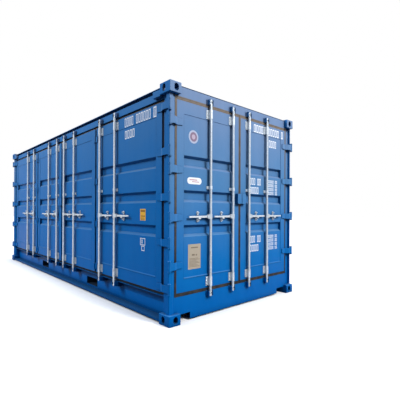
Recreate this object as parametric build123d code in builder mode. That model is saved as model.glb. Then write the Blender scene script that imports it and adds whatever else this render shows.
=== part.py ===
from build123d import *
import os
from math import atan2, radians, tan

# Twenty-foot steel freight container, 8 ft 6 in high, with a pair of swing
# doors in one end and four folding leaves along one long side.
# Millimetres, +Z up, origin on the ground under the middle of the box.
# +X points at the end doors and -Y at the folding side doors.

# Envelope, and the inset of the corner slots that every crane works to
length = 6058.0
width = 2438.0
height = 2591.0
slot_inset_x = 102.5
slot_inset_y = 89.5

# Corner castings
casting_x = 178.0
casting_y = 162.0
casting_z = 118.0
casting_wall = 16.0
casting_cap = 28.0
casting_root = 12.0
casting_round = 6.0
slot_length = 124.0
slot_width = 63.5
face_hole_height = 79.5
end_hole_width = 63.5
side_hole_width = 51.0

# Door planes: every leaf, header and sill stands this far back from the castings
door_recess = 52.0

# Corner posts: insets of their faces, and the rebates that carry the door seals
end_post_face = 109.0
side_post_face = 157.0
post_corner_end = 40.0
post_corner_side = 28.0
post_plain_recess = 25.0
post_wall = 8.0
post_round = 9.0
end_rebate = 22.0
side_rebate = 38.0
flange_front = 31.0
flange_side = 24.0
flange_thick = 14.0
flange_floor = 64.0

# Headers, sills and rails
end_header_high = 131.0
side_header_high = 148.0
roof_drop = 8.0
end_sill_high = 293.0
side_sill_high = 297.0
closed_sill_high = 297.0
sill_bottom = 20.0
rail_wall = 6.0
header_depth = 80.0
header_groove_low = 19.0
header_groove_high = 11.0
header_groove_depth = 5.0
gutter_high = 63.0
gutter_web = 62.0
gutter_lip = 8.0
threshold_depth = 100.0
side_threshold_depth = 150.0
plain_rail_recess = 14.0
plain_rail_size = 60.0
sill_notch_half = 870.0
sill_notch_high = 92.0
side_web_recess = 130.0
side_flange_high = 46.0
side_flange_recess = 12.0
corner_block_length = 130.0
corner_block_low = 129.0
corner_block_high = 59.0
corner_block_recess = 5.0

# Door leaves
door_thickness = 50.0
leaf_gap = 33.0
side_post_gap = 42.0
seam_half = 22.0
inner_leaf_width = 1239.0
stile_width = 105.0
top_rail_high = 139.0
bottom_rail_high = 150.0
stile_wall = 4.0
panel_step = 3.0
panel_thick = 4.0
press_pitch = 385.0
press_height = 132.0
press_depth = 36.0
press_top_run = 24.0
press_bottom_run = 30.0
press_count = 3

# Door seals
seal_width_gap = 6.0
seal_seam_gap = 3.5
seal_depth = 26.0
side_seal_step = 24.0

# Door hinges: forged blades on pins at the outer corner of each post
pin_inset = 15.0
pin_radius = 6.0
pin_play = 0.3
pin_head = 4.0
knuckle_radius = 14.0
blade_thick = 10.0
knuckle_height = 94.0
blade_strap_height = 78.0
blade_tip_height = 62.0
blade_taper_start = 16.0
blade_taper_end = 45.0
blade_slope = 28.0
blade_lap = 78.0
lug_thick = 12.0
lug_gap = 1.5
lug_seat = 22.0
end_hinge_count = 4
end_hinge_low = 302.0
end_hinge_high = 241.0
side_hinge_count = 5
side_hinge_low = 59.0
side_hinge_high = 67.0
fold_hinge_count = 4
fold_hinge_low = 86.0
fold_hinge_high = 160.0
fold_hinge_leaf = 60.0
fold_hinge_height = 82.0
fold_knuckle_radius = 13.0

# Lock rods: insets from the edge of the leaf that lies nearer the seam
rod_recess = 22.0
rod_radius = 16.0
rod_wall = 4.0
end_rod_insets = (144.0, 552.0)
inner_leaf_rod_insets = (140.0, 550.0)
outer_leaf_rod_insets = (151.0, 563.0)
rod_over_low = 65.0
rod_over_high = 61.0
cam_length = 62.0
cam_lobe = 14.0
cam_knob = 12.0
cam_knob_radius = 13.0
cam_collar = 6.0
cam_neck = 9.0
cam_reach = 21.0
cam_web = 10.0
horn_gap = 6.0
horn_thick = 12.0
horn_recess = 8.0
horn_height = 60.0
horn_foot = 10.0
horn_foot_thick = 8.0
strap_play = 0.5
strap_thick = 3.5
bracket_high = 104.0
bracket_reach = 50.0
bracket_plate = 5.0
bracket_low = 76.0
bracket_down = 80.0
guide_height = 1492.0
guide_high = 36.0
guide_reach = 42.0

# Handles
handle_height = 1154.0
hub_reach = 44.0
hub_cheek = 6.0
hub_eye = 20.0
hub_high = 62.0
hub_sleeve = 20.0
handle_pin_radius = 6.0
handle_thick = 12.0
handle_eye = 15.0
handle_cheek_gap = 1.0
handle_reach = 338.0
handle_root_high = 24.0
handle_tip_high = 17.0
catch_place = 188.0
catch_width = 34.0
catch_waist = 22.0
catch_high = 124.0
catch_split = 18.0
catch_plate = 6.0
catch_boss = 12.0
catch_boss_radius = 9.0
catch_ledge = 16.0
catch_lip = 4.0
catch_play = 1.0

# Lock box: one half on each of the two leaves that meet
lock_box_half = 84.0
lock_box_high = 126.0
lock_box_thick = 42.0
lock_box_gap = 4.0

# Corrugated walls and roof
wall_recess = 20.0
wall_thick = 3.0
side_wave_pitch = 278.0
side_wave_depth = 36.0
side_wave_flat = 72.0
side_wave_slope = 68.0
end_wave_pitch = 250.0
end_wave_depth = 45.0
end_wave_flat = 110.0
end_wave_slope = 18.0
roof_wave_pitch = 209.0
roof_wave_depth = 20.0
roof_wave_flat = 91.0
roof_wave_slope = 13.5

# Floor
floor_top = 286.0
floor_thick = 28.0
member_low = 128.0
member_wall = 5.0
member_flange = 45.0
member_pitch = 300.0
fork_place = 1025.0
fork_width = 350.0
fork_low = 79.0
fork_high = 190.0
fork_wall = 6.0

# Places that follow from the sizes above
slot_pitch_x = length - 2 * slot_inset_x
slot_pitch_y = width - 2 * slot_inset_y
casting_inner_x = length / 2 - casting_x
casting_inner_y = width / 2 - casting_y
frame_top = height - roof_drop
end_opening_half = width / 2 - end_post_face
side_opening_half = length / 2 - side_post_face
end_opening_high = height - end_header_high
side_opening_high = height - side_header_high
end_leaf_outer = end_opening_half - leaf_gap
end_leaf_low = end_sill_high + leaf_gap
end_leaf_high = end_opening_high - leaf_gap
side_leaf_outer = side_opening_half - side_post_gap
side_leaf_fold = inner_leaf_width + 2 * seam_half
side_leaf_low = side_sill_high + leaf_gap
side_leaf_high = side_opening_high - leaf_gap
end_rod_places = [seam_half + inset for inset in end_rod_insets]
side_rod_places = [seam_half + inset for inset in inner_leaf_rod_insets]
side_rod_places += [side_leaf_fold + seam_half + inset for inset in outer_leaf_rod_insets]
end_rod_low = end_sill_high - rod_over_low
end_rod_high = end_opening_high + rod_over_high
side_rod_low = side_sill_high - rod_over_low
side_rod_high = side_opening_high + rod_over_high
member_y_low = -(width / 2 - side_web_recess - rail_wall)
member_y_high = width / 2 - plain_rail_recess - rail_wall


def evenly(first, last, count):
    """Heights from the first to the last at an even spacing."""
    return [first + (last - first) * step / (count - 1) for step in range(count)]


end_hinge_heights = evenly(
    end_leaf_low + end_hinge_low, end_leaf_high - end_hinge_high, end_hinge_count
)
side_hinge_heights = evenly(
    side_leaf_low + side_hinge_low, side_leaf_high - side_hinge_high, side_hinge_count
)
fold_hinge_heights = evenly(
    side_leaf_low + fold_hinge_low, side_leaf_high - fold_hinge_high, fold_hinge_count
)

os.makedirs("parts", exist_ok=True)

# The four upright faces of the box: local x runs along the wall, local y is
# height and the normal points out of the container.
DOOR_END = Plane(origin=(length / 2, 0, 0), x_dir=(0, 1, 0), z_dir=(1, 0, 0))
REAR_END = Plane(origin=(-length / 2, 0, 0), x_dir=(0, -1, 0), z_dir=(-1, 0, 0))
DOOR_SIDE = Plane(origin=(0, -width / 2, 0), x_dir=(1, 0, 0), z_dir=(0, -1, 0))
CLOSED_SIDE = Plane(origin=(0, width / 2, 0), x_dir=(-1, 0, 0), z_dir=(0, 1, 0))


def level(wall, z):
    """Horizontal plane at height z: local x along the wall, local y inwards."""
    return Plane(
        origin=wall.origin + Vector(0, 0, z), x_dir=wall.x_dir, z_dir=(0, 0, 1)
    )


def upright(wall, along):
    """Plane across the wall: local x inwards, local y height, normal along."""
    return Plane(
        origin=wall.origin + wall.x_dir * along, x_dir=-wall.z_dir, z_dir=wall.x_dir
    )


def wall_half(wall):
    """Half the overall span of a wall."""
    return width / 2 if abs(wall.x_dir.Y) > 0.5 else length / 2


def finish(piece, name):
    """Labels a finished piece and writes its file."""
    piece.label = name
    export_step(piece, f"parts/{name}.step")
    return piece


def slab(wall, u0, u1, z0, z1, d0, d1, mode=Mode.ADD):
    """Plate between two places along the wall, two heights and two depths."""
    with BuildSketch(wall.offset(-d0)) as shape:
        with Locations(((u0 + u1) / 2, (z0 + z1) / 2)):
            Rectangle(abs(u1 - u0), z1 - z0)
    extrude(shape.sketch, amount=-(d1 - d0), mode=mode)


def tube_along(wall, u0, u1, z0, z1, d0, d1, thick):
    """Box tube that runs along the wall."""
    with BuildSketch(upright(wall, u0)) as shape:
        with Locations(((d0 + d1) / 2, (z0 + z1) / 2)):
            Rectangle(d1 - d0, z1 - z0)
            Rectangle(d1 - d0 - 2 * thick, z1 - z0 - 2 * thick, mode=Mode.SUBTRACT)
    extrude(shape.sketch, amount=u1 - u0)


def tube_up(wall, u0, u1, d0, d1, z0, z1, thick):
    """Box tube that stands on end."""
    with BuildSketch(level(wall, z0)) as shape:
        with Locations(((u0 + u1) / 2, (d0 + d1) / 2)):
            Rectangle(abs(u1 - u0), d1 - d0)
            Rectangle(
                abs(u1 - u0) - 2 * thick, d1 - d0 - 2 * thick, mode=Mode.SUBTRACT
            )
    extrude(shape.sketch, amount=z1 - z0)


def wave_points(span, pitch, flat, slope, depth, face):
    """Trapezoid wave centred on its span, as (along, depth) points."""
    count = int((span - flat) // pitch)
    start = -(count * pitch + flat) / 2
    points = [(-span / 2, face)]
    for step in range(count):
        u = start + step * pitch
        points.append((u + flat, face))
        points.append((u + flat + slope, face + depth))
        points.append((u + pitch - slope, face + depth))
        points.append((u + pitch, face))
    points.append((span / 2, face))
    return points


def sheet_outline(points, thick):
    """Closed outline of a folded sheet: its outer line and the inner one."""
    inner = []
    for before, here, after in zip(points, points[1:], points[2:]):
        first = atan2(here[1] - before[1], here[0] - before[0])
        second = atan2(after[1] - here[1], after[0] - here[0])
        shift = thick * tan((first + second) / 2)
        inner.append((here[0] - shift, here[1] + thick))
    ends = [(points[0][0], points[0][1] + thick)]
    tail = [(points[-1][0], points[-1][1] + thick)]
    loop = list(points) + list(reversed(ends + inner + tail))
    return loop + [points[0]]


def clear_castings():
    """Cuts the room that the eight castings take out of a frame member."""
    for low in (0.0, height - casting_z):
        with BuildSketch(Plane.XY.offset(low)) as corners:
            with GridLocations(length - casting_x, width - casting_y, 2, 2):
                Rectangle(casting_x, casting_y)
        extrude(corners.sketch, amount=casting_z, mode=Mode.SUBTRACT)


def corner_casting(end_wall, side_wall, top):
    """Hollow cast corner with a slot in its cap and a hole in each outer face."""
    sign_x = end_wall.z_dir.X
    sign_y = side_wall.z_dir.Y
    low = height - casting_z if top else 0.0
    middle_x = sign_x * (length - casting_x) / 2
    middle_y = sign_y * (width - casting_y) / 2
    cavity_high = casting_z - casting_cap - casting_root
    cavity_low = low + (casting_root if top else casting_cap)
    cap_face = Plane.XY.offset(height) if top else Plane.XY
    cap_cut = -casting_cap - casting_wall if top else casting_cap + casting_wall
    hole_middle = low + casting_z / 2
    end_place = sign_y * slot_pitch_y / 2 * end_wall.x_dir.Y
    side_place = sign_x * slot_pitch_x / 2 * side_wall.x_dir.X
    with BuildPart() as casting:
        with BuildSketch(Plane.XY.offset(low)):
            with Locations((middle_x, middle_y)):
                Rectangle(casting_x, casting_y)
        extrude(amount=casting_z)
        fillet(casting.edges(), radius=casting_round)
        with BuildSketch(Plane.XY.offset(cavity_low)):
            with Locations((middle_x, middle_y)):
                Rectangle(casting_x - 2 * casting_wall, casting_y - 2 * casting_wall)
        extrude(amount=cavity_high, mode=Mode.SUBTRACT)
        with BuildSketch(cap_face):
            with Locations((sign_x * slot_pitch_x / 2, sign_y * slot_pitch_y / 2)):
                SlotOverall(slot_length, slot_width)
        extrude(amount=cap_cut, mode=Mode.SUBTRACT)
        with BuildSketch(end_wall):
            with Locations((end_place, hole_middle)):
                SlotOverall(face_hole_height, end_hole_width, rotation=90)
        extrude(amount=-2 * casting_wall, mode=Mode.SUBTRACT)
        with BuildSketch(side_wall):
            with Locations((side_place, hole_middle)):
                SlotOverall(face_hole_height, side_hole_width, rotation=90)
        extrude(amount=-2 * casting_wall, mode=Mode.SUBTRACT)
    return casting.part


def corner_castings():
    """All eight cast corners."""
    corners = [
        corner_casting(end_wall, side_wall, top)
        for end_wall in (DOOR_END, REAR_END)
        for side_wall in (DOOR_SIDE, CLOSED_SIDE)
        for top in (False, True)
    ]
    with BuildPart() as castings:
        for corner in corners:
            add(corner)
    return finish(castings.part, "corner_castings")


def corner_post(end_wall, side_wall, outline):
    """Hollow post between two castings.

    The outline is a list of insets from the end face and from the side face.
    """
    sign_x = end_wall.z_dir.X
    sign_y = side_wall.z_dir.Y
    points = [
        (sign_x * (length / 2 - from_end), sign_y * (width / 2 - from_side))
        for from_end, from_side in outline
    ]
    with BuildSketch(Plane.XY.offset(casting_z)) as section:
        with BuildLine():
            Polyline(*points, close=True)
        make_face()
        corner = section.vertices().sort_by(lambda v: v.X * sign_x + v.Y * sign_y)[-1]
        fillet(corner, radius=post_round)
        offset(amount=-post_wall, kind=Kind.INTERSECTION, mode=Mode.SUBTRACT)
    extrude(section.sketch, amount=height - 2 * casting_z)


def hinge_lugs(wall, side, heights, seat, seat_size):
    """Pairs of lugs that hold a hinge pin off the outer corner of a post.

    side is +1 or -1, for the post at that end of the wall's local x. The seat
    on the post is given by its insets along the wall and into it.
    """
    half = wall_half(wall)
    pin_u = side * (half - pin_inset)
    seat_u = side * (half - seat[0])
    for middle in heights:
        for low in (
            middle - knuckle_height / 2 - lug_gap - lug_thick,
            middle + knuckle_height / 2 + lug_gap,
        ):
            with BuildSketch(level(wall, low)) as shape:
                with Locations((pin_u, pin_inset)):
                    Circle(knuckle_radius)
                with Locations((seat_u, seat[1])):
                    Rectangle(*seat_size)
                make_hull()
                with Locations((pin_u, pin_inset)):
                    Circle(pin_radius, mode=Mode.SUBTRACT)
            extrude(shape.sketch, amount=lug_thick)


# Insets from the end face and from the side face, round each kind of post
end_bevel = door_recess - post_corner_end
side_bevel = door_recess - post_corner_side
end_door_edge = [
    (post_corner_end, end_post_face - end_rebate - end_bevel),
    (door_recess, end_post_face - end_rebate),
    (door_recess, end_post_face),
]
side_door_edge = [
    (side_post_face, door_recess),
    (side_post_face - side_rebate, door_recess),
    (side_post_face - side_rebate - side_bevel, post_corner_side),
]


def door_end_posts():
    """The post that carries both kinds of doors, and the one with a flange."""
    both_doors = [(post_corner_end, post_corner_side)]
    both_doors += end_door_edge + [(side_post_face, end_post_face)] + side_door_edge
    flanged = [
        (flange_floor, flange_side),
        (flange_floor, end_post_face),
        (casting_x, end_post_face),
        (casting_x, flange_side),
    ]
    seat = lug_seat / 2
    near_seat = (post_corner_side + seat, post_corner_end + seat)
    with BuildPart() as posts:
        corner_post(DOOR_END, DOOR_SIDE, both_doors)
        corner_post(DOOR_END, CLOSED_SIDE, flanged)
        slab(
            DOOR_END, width / 2 - flange_side - flange_thick, width / 2 - flange_side,
            casting_z, height - casting_z, flange_front, flange_floor + post_wall,
        )
        hinge_lugs(DOOR_END, -1, end_hinge_heights, near_seat, (lug_seat, lug_seat))
        hinge_lugs(
            DOOR_END, 1, end_hinge_heights,
            (flange_side + flange_thick / 2, flange_front + seat), (flange_thick, lug_seat),
        )
        hinge_lugs(
            DOOR_SIDE, 1, side_hinge_heights, (near_seat[1], near_seat[0]),
            (lug_seat, lug_seat),
        )
    return finish(posts.part, "door_end_posts")


def rear_end_posts():
    side_doors_only = [
        (post_plain_recess, post_corner_side),
        (post_plain_recess, casting_y),
        (side_post_face, casting_y),
    ]
    side_doors_only += side_door_edge
    plain = [
        (post_plain_recess, post_plain_recess),
        (post_plain_recess, casting_y),
        (casting_x, casting_y),
        (casting_x, post_plain_recess),
    ]
    seat = lug_seat / 2
    with BuildPart() as posts:
        corner_post(REAR_END, DOOR_SIDE, side_doors_only)
        corner_post(REAR_END, CLOSED_SIDE, plain)
        hinge_lugs(
            DOOR_SIDE, -1, side_hinge_heights,
            (post_plain_recess + seat, post_corner_side + seat), (lug_seat, lug_seat),
        )
    return finish(posts.part, "rear_end_posts")


def end_door_header():
    """Box beam over the end doors, with a drip groove along its top edge."""
    half = end_opening_half
    with BuildPart() as header:
        tube_along(
            DOOR_END, -half, half, end_opening_high, frame_top,
            door_recess, door_recess + header_depth, rail_wall,
        )
        slab(
            DOOR_END, -half, half, height - header_groove_low,
            height - header_groove_high, door_recess,
            door_recess + header_groove_depth, mode=Mode.SUBTRACT,
        )
        clear_castings()
    return header.part


def door_sill():
    """Pressed sill under the end doors, notched beside the castings."""
    half = end_opening_half
    with BuildPart() as sill:
        slab(DOOR_END, -half, half, sill_bottom, end_sill_high,
             door_recess, door_recess + rail_wall)
        slab(DOOR_END, -half, half, end_sill_high - rail_wall, end_sill_high,
             door_recess, door_recess + threshold_depth)
        for side in (-1, 1):
            slab(DOOR_END, side * sill_notch_half, side * half, sill_bottom,
                 sill_notch_high, door_recess, door_recess + rail_wall,
                 mode=Mode.SUBTRACT)
        slab(DOOR_END, -sill_notch_half, sill_notch_half, sill_bottom,
             sill_bottom + rail_wall, door_recess, door_recess + threshold_depth)
        clear_castings()
    return finish(sill.part, "door_sill")


def side_door_header():
    """Box beam over the side doors under an open gutter, with corner blocks."""
    half = side_opening_half
    ledge = height - gutter_high
    back = door_recess + header_depth
    web = door_recess + gutter_web
    with BuildPart() as header:
        tube_along(
            DOOR_SIDE, -half, half, side_opening_high, ledge, door_recess, back,
            rail_wall,
        )
        slab(DOOR_SIDE, -half, half, ledge, frame_top, web, web + rail_wall)
        slab(DOOR_SIDE, -half, half, frame_top - rail_wall, frame_top,
             door_recess + gutter_lip, back)
        clear_castings()
        for side in (-1, 1):
            slab(DOOR_SIDE, side * (casting_inner_x - corner_block_length),
                 side * casting_inner_x, height - corner_block_low,
                 height - corner_block_high, corner_block_recess, door_recess)
    return header.part


def door_headers():
    with BuildPart() as headers:
        add(end_door_header())
        add(side_door_header())
    return finish(headers.part, "door_headers")


def side_door_sill():
    """Deep set web under the side doors, above and below the fork pockets."""
    half = side_opening_half
    inner = casting_inner_x
    web = side_web_recess
    reach = cam_reach + horn_gap + horn_thick + horn_foot
    with BuildPart() as sill:
        slab(DOOR_SIDE, -half, half, fork_high, side_sill_high, web, web + rail_wall)
        slab(DOOR_SIDE, -half, half, side_sill_high - rail_wall, side_sill_high,
             door_recess, door_recess + side_threshold_depth)
        for place in side_rod_places:
            for side in (-1, 1):
                middle = side * place
                slab(DOOR_SIDE, middle - reach, middle + reach,
                     side_rod_low - rail_wall, side_sill_high - rail_wall,
                     door_recess, web)
        slab(DOOR_SIDE, -inner, inner, sill_bottom, fork_low, web, web + rail_wall)
        slab(DOOR_SIDE, -inner, inner, side_flange_high - rail_wall, side_flange_high,
             side_flange_recess, web)
        slab(DOOR_SIDE, -inner, inner, sill_bottom, side_flange_high - rail_wall,
             side_flange_recess, side_flange_recess + rail_wall)
    return finish(sill.part, "side_door_sill")


def plain_sills():
    """Closed side: a rail above and below the fork pockets. Closed end: a sill."""
    half = casting_inner_x
    face = plain_rail_recess
    back = face + plain_rail_size
    with BuildPart() as sills:
        slab(CLOSED_SIDE, -half, half, fork_high, closed_sill_high,
             face, face + rail_wall)
        slab(CLOSED_SIDE, -half, half, closed_sill_high - rail_wall, closed_sill_high,
             face, back)
        slab(CLOSED_SIDE, -half, half, sill_bottom, fork_low, face, face + rail_wall)
        slab(CLOSED_SIDE, -half, half, sill_bottom, sill_bottom + rail_wall, face, back)
        half = casting_inner_y
        slab(REAR_END, -half, half, sill_bottom, closed_sill_high, face, face + rail_wall)
        slab(REAR_END, -half, half, closed_sill_high - rail_wall, closed_sill_high,
             face, back)
        for side in (-1, 1):
            slab(REAR_END, side * sill_notch_half, side * half, sill_bottom,
                 sill_notch_high, face, face + rail_wall, mode=Mode.SUBTRACT)
        slab(REAR_END, -sill_notch_half, sill_notch_half, sill_bottom,
             sill_bottom + rail_wall, face, back)
    return finish(sills.part, "plain_sills")


def sill_webs():
    """The stretches of both side sills between and beside the fork pockets."""
    near = fork_place - fork_width / 2
    far = fork_place + fork_width / 2
    with BuildPart() as webs:
        for wall, depth, half in (
            (DOOR_SIDE, side_web_recess, side_opening_half),
            (CLOSED_SIDE, plain_rail_recess, casting_inner_x),
        ):
            for start, stop in ((-half, -far), (-near, near), (far, half)):
                slab(wall, start, stop, fork_low, fork_high, depth, depth + rail_wall)
        clear_castings()
    return finish(webs.part, "sill_webs")


def plain_top_rails():
    """Square tubes under the roof along the closed side and the closed end."""
    low = frame_top - plain_rail_size
    back = plain_rail_recess + plain_rail_size
    with BuildPart() as rails:
        tube_along(CLOSED_SIDE, -casting_inner_x, casting_inner_x, low, frame_top,
                   plain_rail_recess, back, rail_wall)
        tube_along(REAR_END, -casting_inner_y, casting_inner_y, low, frame_top,
                   plain_rail_recess, back, rail_wall)
    return finish(rails.part, "plain_top_rails")


def corrugated_walls():
    """Upright corrugated sheets between the plain sills and the plain top rails."""
    side_points = wave_points(
        2 * casting_inner_x, side_wave_pitch, side_wave_flat, side_wave_slope,
        side_wave_depth, wall_recess,
    )
    end_points = wave_points(
        2 * casting_inner_y, end_wave_pitch, end_wave_flat, end_wave_slope,
        end_wave_depth, wall_recess,
    )
    with BuildPart() as walls:
        for wall, points in ((CLOSED_SIDE, side_points), (REAR_END, end_points)):
            with BuildSketch(level(wall, closed_sill_high)):
                with BuildLine():
                    Polyline(*sheet_outline(points, wall_thick))
                make_face()
            extrude(amount=frame_top - plain_rail_size - closed_sill_high)
    return finish(walls.part, "corrugated_walls")


def roof_panel():
    """Corrugated roof sheet set between the top rails."""
    x_low = -(length / 2 - plain_rail_recess - plain_rail_size)
    x_high = length / 2 - door_recess - header_depth
    y_low = -(width / 2 - door_recess - header_depth)
    y_high = width / 2 - plain_rail_recess - plain_rail_size
    points = wave_points(
        x_high - x_low, roof_wave_pitch, roof_wave_flat, roof_wave_slope,
        roof_wave_depth, roof_drop,
    )
    sheet = Plane(
        origin=((x_low + x_high) / 2, y_low, height), x_dir=(1, 0, 0), z_dir=(0, 1, 0)
    )
    with BuildPart() as roof:
        with BuildSketch(sheet):
            with BuildLine():
                Polyline(*sheet_outline(points, wall_thick))
            make_face()
        extrude(amount=y_high - y_low)
        clear_castings()
    return finish(roof.part, "roof_panel")


def floor_boards():
    """Plywood floor between the sills, as one panel."""
    x_low = -(length / 2 - plain_rail_recess - plain_rail_size)
    x_high = length / 2 - door_recess - threshold_depth
    y_low = -(width / 2 - door_recess - side_threshold_depth)
    y_high = width / 2 - plain_rail_recess - plain_rail_size
    with BuildPart() as floor:
        with BuildSketch(Plane.XY.offset(floor_top - floor_thick)):
            with Locations(((x_low + x_high) / 2, (y_low + y_high) / 2)):
                Rectangle(x_high - x_low, y_high - y_low)
            with Locations((0, (width - casting_y) / 2)):
                with GridLocations(length - casting_x, 1, 2, 1):
                    Rectangle(casting_x, casting_y, mode=Mode.SUBTRACT)
        extrude(amount=floor_thick)
    return finish(floor.part, "floor_boards")


def cross_members():
    """C-section joists under the floor, left out where the pockets pass."""
    high = floor_top - floor_thick
    keep_out = fork_width / 2 + fork_wall + member_flange
    span = 2 * (casting_inner_x - 2 * member_flange)
    count = int(span // member_pitch)
    start = -count * member_pitch / 2
    with BuildPart() as members:
        for step in range(count + 1):
            x = start + step * member_pitch
            if min(abs(x - fork_place), abs(x + fork_place)) < keep_out:
                continue
            with BuildSketch(
                Plane(origin=(x, member_y_low, 0), x_dir=(1, 0, 0), z_dir=(0, -1, 0))
            ):
                with Locations((member_flange / 2, (member_low + high) / 2)):
                    Rectangle(member_flange, high - member_low)
                with Locations(
                    ((member_flange + member_wall) / 2, (member_low + high) / 2)
                ):
                    Rectangle(
                        member_flange - member_wall,
                        high - member_low - 2 * member_wall,
                        mode=Mode.SUBTRACT,
                    )
            extrude(amount=-(member_y_high - member_y_low))
    return finish(members.part, "cross_members")


def pocket_plates(places, plate_width, bands, name):
    """Plates that run across the base, each in one height band."""
    with BuildPart() as plates:
        for low, high in bands:
            with BuildSketch(Plane.XY.offset(low)):
                for place in places:
                    with Locations((place, (member_y_low + member_y_high) / 2)):
                        Rectangle(plate_width, member_y_high - member_y_low)
            extrude(amount=high - low)
    return finish(plates.part, name)


def fork_pockets():
    """Two square tunnels through the base, each of four welded plates."""
    middles = (-fork_place, fork_place)
    half = (fork_width + fork_wall) / 2
    sides = [middle + side * half for middle in middles for side in (-1, 1)]
    return [
        pocket_plates(
            middles, fork_width + 2 * fork_wall,
            ((fork_low - fork_wall, fork_low), (fork_high, fork_high + fork_wall)),
            "fork_pocket_plates",
        ),
        pocket_plates(sides, fork_wall, ((fork_low, fork_high),), "fork_pocket_sides"),
    ]


def pressed_line(z0, z1):
    """Depth line of the pressed panel from z0 up to z1, as (height, depth)."""
    face = door_recess + panel_step
    points = [(z0, face)]
    for step in range(press_count):
        middle = (z0 + z1) / 2 + (step - (press_count - 1) / 2) * press_pitch
        low = middle - press_height / 2
        high = middle + press_height / 2
        points.append((low, face))
        points.append((low + press_bottom_run, face + press_depth))
        points.append((high - press_top_run, face + press_depth))
        points.append((high, face))
    points.append((z1, face))
    return points


def door_leaf(wall, u0, u1, z0, z1, name):
    """Welded leaf: box stiles and rails round a panel with pressed bands."""
    low = min(u0, u1)
    high = max(u0, u1)
    back = door_recess + door_thickness
    panel_low = z0 + bottom_rail_high
    panel_high = z1 - top_rail_high
    with BuildPart() as leaf:
        tube_up(wall, low, low + stile_width, door_recess, back, z0, z1, stile_wall)
        tube_up(wall, high - stile_width, high, door_recess, back, z0, z1, stile_wall)
        tube_along(wall, low + stile_width, high - stile_width, z0, panel_low,
                   door_recess, back, stile_wall)
        tube_along(wall, low + stile_width, high - stile_width, panel_high, z1,
                   door_recess, back, stile_wall)
        outline = sheet_outline(pressed_line(panel_low, panel_high), panel_thick)
        with BuildSketch(upright(wall, low + stile_width)):
            with BuildLine():
                Polyline(*[(depth, z) for z, depth in outline])
            make_face()
        extrude(amount=high - low - 2 * stile_width)
    return finish(leaf.part, name)


def lock_box(wall, side, z0, z1):
    """Half of a box that hides a padlock, on the leaf at that side of the seam."""
    middle = (z0 + z1) / 2
    slab(wall, side * lock_box_gap, side * lock_box_half,
         middle - lock_box_high / 2, middle + lock_box_high / 2,
         door_recess - lock_box_thick, door_recess)


def seal_ring(wall, u0, u1, z0, z1, reach_u0, reach_u1, reach_z, step=0.0):
    """Rubber seal round one leaf; each reach is how far a side stands out.

    step is how far the seal's face lies behind the face of the leaf.
    """
    with BuildSketch(wall.offset(-door_recess - step)) as shape:
        with Locations(
            ((u0 - reach_u0 + u1 + reach_u1) / 2, (z0 + z1) / 2)
        ):
            Rectangle(u1 + reach_u1 - u0 + reach_u0, z1 - z0 + 2 * reach_z)
        with Locations(((u0 + u1) / 2, (z0 + z1) / 2)):
            Rectangle(u1 - u0, z1 - z0, mode=Mode.SUBTRACT)
    extrude(shape.sketch, amount=-seal_depth)


seam_reach = seam_half - seal_seam_gap
frame_reach = leaf_gap - seal_width_gap
side_post_reach = side_post_gap - seal_width_gap


def hinge_blade(wall, side, middle, leaf_outer):
    """Forged blade: knuckle on the pin, strap over the post, joggle to the leaf."""
    pin_u = side * (wall_half(wall) - pin_inset)
    leaf_at = abs(pin_u) - leaf_outer
    reach = leaf_at + blade_lap
    front = pin_inset - blade_thick / 2
    back = pin_inset + blade_thick / 2
    bend = leaf_at - (door_recess - back) / tan(radians(blade_slope))
    lag = blade_thick * tan(radians(blade_slope / 2))
    outline = [
        (0, front),
        (bend + lag, front),
        (leaf_at + lag, door_recess - blade_thick),
        (reach, door_recess - blade_thick),
        (reach, door_recess),
        (leaf_at, door_recess),
        (bend, back),
        (0, back),
        (0, front),
    ]
    with BuildSketch(level(wall, middle - knuckle_height / 2)) as shape:
        with BuildLine():
            Polyline(*[(pin_u - side * s, d) for s, d in outline])
        make_face()
        with Locations((pin_u, pin_inset)):
            Circle(knuckle_radius)
            Circle(pin_radius + pin_play, mode=Mode.SUBTRACT)
    extrude(shape.sketch, amount=knuckle_height)
    taper = [
        (blade_taper_start, knuckle_height),
        (blade_taper_end, blade_strap_height),
        (leaf_at + lag, blade_strap_height),
        (reach, blade_tip_height),
        (reach + blade_thick, blade_tip_height),
        (reach + blade_thick, knuckle_height + blade_thick),
        (blade_taper_start, knuckle_height + blade_thick),
    ]
    for flip in (-1, 1):
        with BuildSketch(wall) as waste:
            with BuildLine():
                Polyline(
                    *[(pin_u - side * s, middle + flip * h / 2) for s, h in taper],
                    close=True,
                )
            make_face()
        extrude(waste.sketch, amount=-door_recess, mode=Mode.SUBTRACT)


def hinge_pin(wall, side, middle):
    """Pin through two lugs and a knuckle, headed at both ends."""
    pin_u = side * (wall_half(wall) - pin_inset)
    reach = knuckle_height / 2 + lug_gap + lug_thick
    with BuildSketch(level(wall, middle - reach)) as shape:
        with Locations((pin_u, pin_inset)):
            Circle(pin_radius)
    extrude(shape.sketch, amount=2 * reach)
    for low in (middle - reach - pin_head, middle + reach):
        with BuildSketch(level(wall, low)) as shape:
            with Locations((pin_u, pin_inset)):
                Circle(pin_radius + pin_head / 2)
        extrude(shape.sketch, amount=pin_head)


def fold_hinge(wall, along, middle):
    """Flat hinge on the seam where two side leaves fold against each other."""
    with BuildSketch(level(wall, middle - fold_hinge_height / 2)) as shape:
        with Locations((along, door_recess - blade_thick / 2)):
            Rectangle(2 * fold_hinge_leaf, blade_thick)
        with Locations((along, door_recess - fold_knuckle_radius)):
            Circle(fold_knuckle_radius)
    extrude(shape.sketch, amount=fold_hinge_height)


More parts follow.
